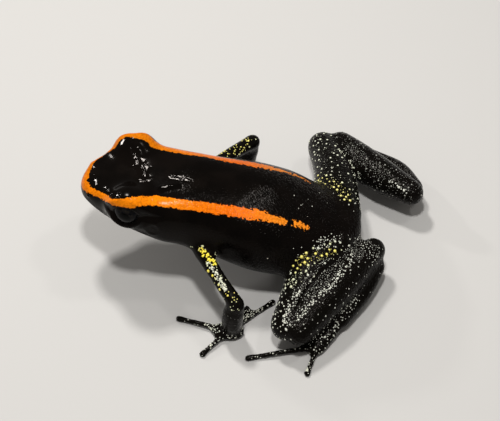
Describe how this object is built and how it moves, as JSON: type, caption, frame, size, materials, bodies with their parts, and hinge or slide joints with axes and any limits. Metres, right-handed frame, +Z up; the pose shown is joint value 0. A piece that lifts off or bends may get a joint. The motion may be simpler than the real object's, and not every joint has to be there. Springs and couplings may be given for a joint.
{
  "type": "striped poison frog, still model",
  "caption": "Life-size still model of a small black poison frog with orange side stripes and pale granules, standing on its spread limbs with its head raised.",
  "frame": {"origin": "on the floor, under the middle of the frog's outline as seen from above", "axes": "+X towards the frog's rear, so that it faces -X; +Y towards its right side; +Z up"},
  "size_m": [0.03, 0.026, 0.0114],
  "materials": {
    "black_skin": "wet, glossy black skin with orange stripes",
    "speckled_skin": "black skin with fine pale granules",
    "eye": "very glossy, near black"
  },
  "bodies": {
    "root": {"head": "black_skin", "torso": "black_skin", "eye_left": "eye", "eye_right": "eye", "upper_arm_left": "speckled_skin", "upper_arm_right": "speckled_skin", "forearm_left": "speckled_skin", "forearm_right": "speckled_skin", "hand_left": "speckled_skin", "hand_right": "speckled_skin", "thigh_left": "speckled_skin", "thigh_right": "speckled_skin", "shank_left": "speckled_skin", "shank_right": "speckled_skin", "tarsus_left": "speckled_skin", "tarsus_right": "speckled_skin", "foot_left": "speckled_skin", "foot_right": "speckled_skin"}
  },
  "joints": []
}
